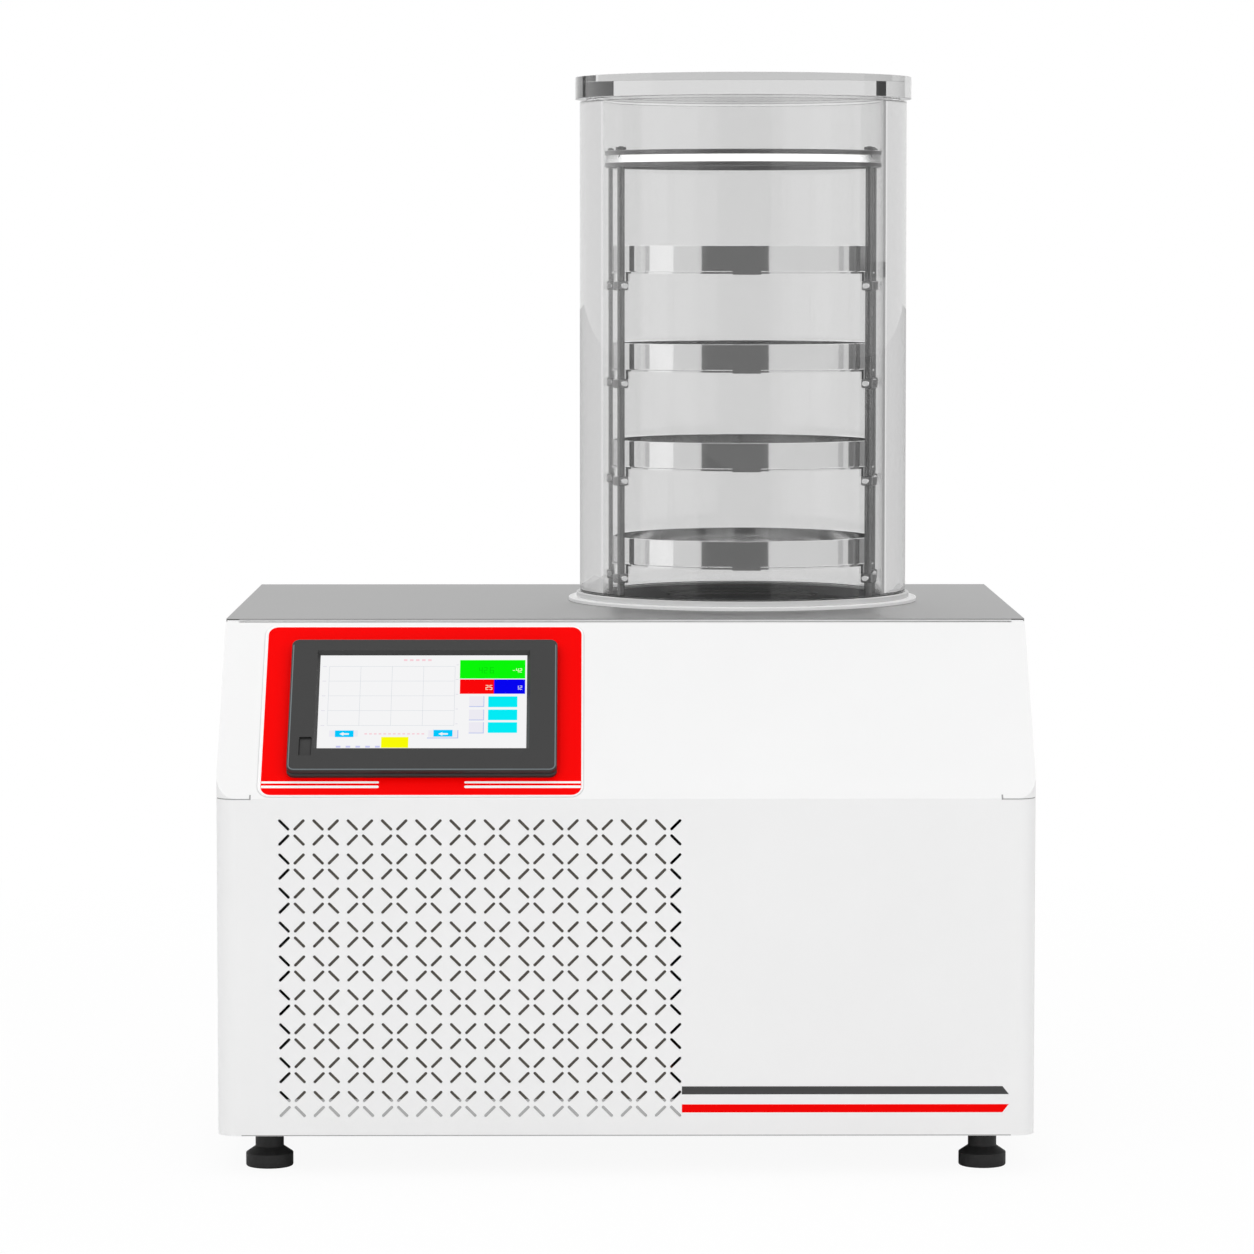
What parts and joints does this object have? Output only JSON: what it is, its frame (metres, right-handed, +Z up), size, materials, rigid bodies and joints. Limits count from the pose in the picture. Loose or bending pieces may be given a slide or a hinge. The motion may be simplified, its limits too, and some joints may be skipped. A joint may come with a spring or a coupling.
{
  "type": "bench-top freeze dryer",
  "caption": "Bench-top freeze dryer: vented sheet-metal cabinet with a sloped touch-screen panel and a clear drum-shaped drying chamber over a cold trap, with a rack of round trays.",
  "frame": {"origin": "middle of the whole object's outline, on the surface that the feet stand on", "axes": "+Z up, front with the touch screen facing -Y, +X to the right as seen from the front"},
  "size_m": [0.6, 0.552, 0.812],
  "materials": {
    "white_panel": "fine powder coat",
    "deck_steel": "brushed",
    "overlay_red": "printed membrane",
    "bezel_grey": "satin",
    "screen": "glossy",
    "white_polymer": "matt",
    "acrylic": "clear acrylic",
    "stainless": "polished",
    "black_rubber": "matt",
    "black_plastic": "satin",
    "black_steel": "gloss enamel",
    "zinc_steel": "zinc plated",
    "copper": "bare copper",
    "brass": "machined",
    "fin_aluminium": "mill",
    "foam": "closed-cell foam"
  },
  "bodies": {
    "cabinet": {"air_valve_body": "brass", "base_pan": "zinc_steel", "chamber_flange": "stainless", "chamber_gasket": "black_rubber", "chamber_lid": "acrylic", "chamber_seat_ring": "white_polymer", "chamber_tube": "acrylic", "cold_trap_pot": "stainless", "compressor": "black_steel", "compressor_mounts": "black_rubber", "condenser_core": "fin_aluminium", "control_box": "zinc_steel", "control_overlay": "overlay_red", "deck_plate": "deck_steel", "discharge_line": "copper", "drain_line": "white_polymer", "drain_valve_body": "brass", "evaporator_jacket": "stainless", "expansion_line": "copper", "fan_motor": "black_steel", "fan_shroud": "zinc_steel", "filter_drier": "copper", "foot_lock_nuts": "zinc_steel", "front_shell": "white_panel", "hmi_bezel": "bezel_grey", "hmi_display": "screen", "hmi_housing": "black_plastic", "hmi_usb_cover": "black_plastic", "inner_frame": "zinc_steel", "lid_gasket": "black_rubber", "liquid_line": "copper", "pot_insulation": "foam", "power_inlet": "black_plastic", "pump_socket": "black_plastic", "rack_base": "stainless", "rack_nuts": "stainless", "rack_posts": "stainless", "rack_top_ring": "stainless", "rear_panel": "white_panel", "side_panel_left": "white_panel", "side_panel_right": "white_panel", "suction_line": "copper", "switch_frame": "black_plastic", "tray_1": "stainless", "tray_2": "stainless", "tray_3": "stainless", "tray_4": "stainless", "tray_shelf_1": "stainless", "tray_shelf_2": "stainless", "tray_shelf_3": "stainless", "tray_shelf_4": "stainless", "vacuum_port": "stainless"},
    "fan_rotor": {"fan_rotor": "black_plastic"},
    "switch_rocker": {"switch_rocker": "black_plastic"},
    "drain_valve_lever": {"drain_valve_lever": "black_plastic"},
    "air_valve_knob": {"air_valve_knob": "black_plastic"},
    "foot_front_left": {"foot_front_left": "black_rubber"},
    "foot_rear_left": {"foot_rear_left": "black_rubber"},
    "foot_front_right": {"foot_front_right": "black_rubber"},
    "foot_rear_right": {"foot_rear_right": "black_rubber"}
  },
  "joints": [
    {"name": "fan_spin", "type": "hinge", "parent": "cabinet", "child": "fan_rotor", "pos_m": [-0.1069, -0.179, 0.155], "axis": [0, 1, 0], "continuous": true},
    {"name": "switch_rock", "type": "hinge", "parent": "cabinet", "child": "switch_rocker", "pos_m": [-0.245, 0.244, 0.092], "axis": [1, 0, 0], "range_deg": [-20, 0]},
    {"name": "drain_lever_turn", "type": "hinge", "parent": "cabinet", "child": "drain_valve_lever", "pos_m": [0.094, 0.256, 0.1235], "axis": [0, 0, 1], "range_deg": [0, 90]},
    {"name": "air_knob_turn", "type": "hinge", "parent": "cabinet", "child": "air_valve_knob", "pos_m": [0.21, 0.262, 0.345], "axis": [0, 1, 0], "range_deg": [0, 270]},
    {"name": "foot_front_left_screw", "type": "hinge", "parent": "cabinet", "child": "foot_front_left", "pos_m": [-0.264, -0.236, 0.02], "axis": [0, 0, 1], "continuous": true},
    {"name": "foot_rear_left_screw", "type": "hinge", "parent": "cabinet", "child": "foot_rear_left", "pos_m": [-0.264, 0.204, 0.02], "axis": [0, 0, 1], "continuous": true},
    {"name": "foot_front_right_screw", "type": "hinge", "parent": "cabinet", "child": "foot_front_right", "pos_m": [0.264, -0.236, 0.02], "axis": [0, 0, 1], "continuous": true},
    {"name": "foot_rear_right_screw", "type": "hinge", "parent": "cabinet", "child": "foot_rear_right", "pos_m": [0.264, 0.204, 0.02], "axis": [0, 0, 1], "continuous": true}
  ]
}
